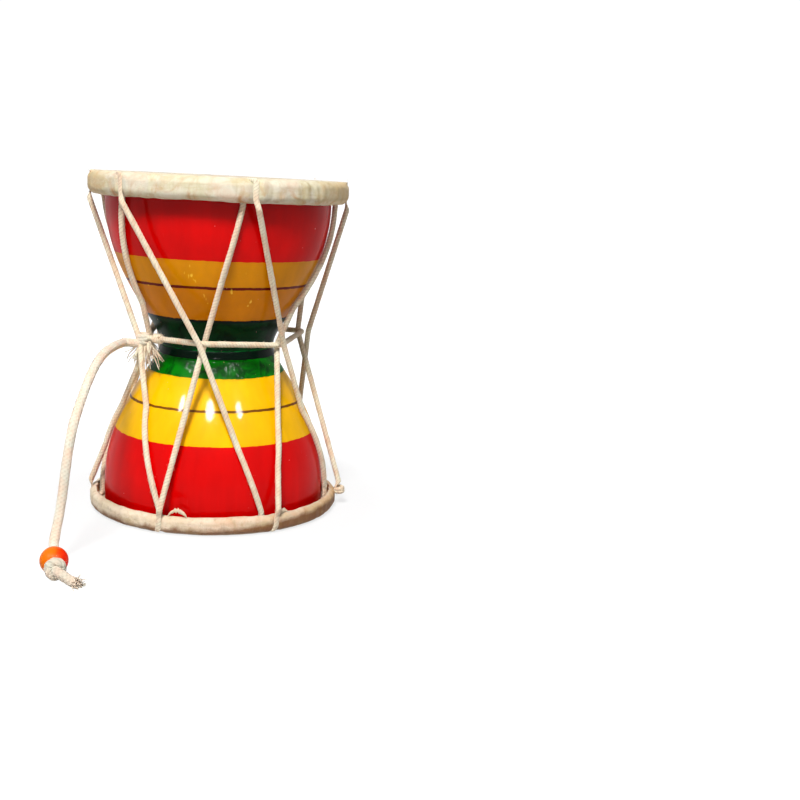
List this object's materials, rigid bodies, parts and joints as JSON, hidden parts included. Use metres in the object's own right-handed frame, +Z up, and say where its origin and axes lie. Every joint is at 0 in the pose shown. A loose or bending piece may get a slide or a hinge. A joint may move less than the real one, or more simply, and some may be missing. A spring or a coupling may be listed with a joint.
{
  "type": "damaru hand drum",
  "caption": "Hourglass hand drum in banded lacquer, a laced skin head on each end, with cord strikers tied at the waist that swing and fold over the hoops.",
  "frame": {"origin": "middle of the lower head, on the surface that the drum stands on", "axes": "+Z up along the drum's axis, -Y towards the viewer of the picture, +X to the viewer's right"},
  "size_m": [0.1415, 0.2716, 0.1709],
  "materials": {
    "lacquer": "gloss lacquer in red, orange, yellow, green and black bands",
    "skin": "raw goat skin",
    "cane": "plain cane",
    "cotton": "twisted cotton cord",
    "striker_rope": "thicker braided cotton cord",
    "orange_bead": "gloss",
    "red_bead": "gloss"
  },
  "bodies": {
    "drum": {"shell": "lacquer", "top_skin": "skin", "bottom_skin": "skin", "top_hoop": "cane", "bottom_hoop": "cane", "lacing_cord_a": "cotton", "lacing_cord_b": "cotton", "lacing_knot_a": "cotton", "lacing_knot_b": "cotton", "waist_cord": "cotton", "waist_knot": "cotton", "waist_cord_fray": "cotton", "left_tie_knot": "striker_rope", "back_tie_knot": "striker_rope"},
    "left_root": {"left_cord_root": "striker_rope"},
    "left_arm": {"left_cord_arm": "striker_rope"},
    "left_fold": {"left_cord_fold": "striker_rope"},
    "left_fall": {"left_cord_fall": "striker_rope"},
    "left_toe": {"left_cord_toe": "striker_rope", "left_bead": "orange_bead", "left_end_knot": "striker_rope", "left_frayed_tail": "striker_rope"},
    "back_root": {"back_cord_root": "striker_rope"},
    "back_arm": {"back_cord_arm": "striker_rope"},
    "back_fold": {"back_cord_fold": "striker_rope"},
    "back_fall": {"back_cord_fall": "striker_rope"},
    "back_toe": {"back_cord_toe": "striker_rope", "back_bead": "red_bead", "back_end_knot": "striker_rope", "back_frayed_tail": "striker_rope"}
  },
  "joints": [
    {"name": "left_tie_swing", "type": "hinge", "parent": "drum", "child": "left_root", "pos_m": [-0.04565, -0.02065, 0.0865], "axis": [-0.9756, 0.2194, 0], "range_deg": [0, 74.2]},
    {"name": "left_arm_bend", "type": "hinge", "parent": "left_root", "child": "left_arm", "pos_m": [-0.05421, -0.0587, 0.0832], "axis": [-0.9756, 0.2194, 0], "range_deg": [0, 31.9]},
    {"name": "left_hoop_bend", "type": "hinge", "parent": "left_arm", "child": "left_fold", "pos_m": [-0.06164, -0.08901, 0.06], "axis": [-0.9756, 0.2194, 0], "range_deg": [0, 72]},
    {"name": "left_fall_bend", "type": "hinge", "parent": "left_fold", "child": "left_fall", "pos_m": [-0.06435, -0.09424, 0.0415], "axis": [-0.9756, 0.2194, 0], "range_deg": [0, 91.6]},
    {"name": "left_toe_bend", "type": "hinge", "parent": "left_fall", "child": "left_toe", "pos_m": [-0.06781, -0.10002, 0.0152], "axis": [-0.9756, 0.2194, 0], "range_deg": [-75.5, 0]},
    {"name": "back_tie_swing", "type": "hinge", "parent": "drum", "child": "back_root", "pos_m": [0.01509, 0.04778, 0.0865], "axis": [0.8146, 0.58, 0], "range_deg": [0, 74.2]},
    {"name": "back_arm_bend", "type": "hinge", "parent": "back_root", "child": "back_arm", "pos_m": [-0.00752, 0.07955, 0.0832], "axis": [0.8146, 0.58, 0], "range_deg": [0, 31.9]},
    {"name": "back_hoop_bend", "type": "hinge", "parent": "back_arm", "child": "back_fold", "pos_m": [-0.02513, 0.10531, 0.06], "axis": [0.8146, 0.58, 0], "range_deg": [0, 72]},
    {"name": "back_fall_bend", "type": "hinge", "parent": "back_fold", "child": "back_fall", "pos_m": [-0.02722, 0.11082, 0.0415], "axis": [0.8146, 0.58, 0], "range_deg": [0, 91.6]},
    {"name": "back_toe_bend", "type": "hinge", "parent": "back_fall", "child": "back_toe", "pos_m": [-0.02922, 0.11725, 0.0152], "axis": [0.8146, 0.58, 0], "range_deg": [-75.5, 0]}
  ],
  "couplings": [
    {"joint": "left_toe_bend", "follows": "left_tie_swing", "ratio": -1.0148},
    {"joint": "back_toe_bend", "follows": "back_tie_swing", "ratio": -1.0148}
  ]
}
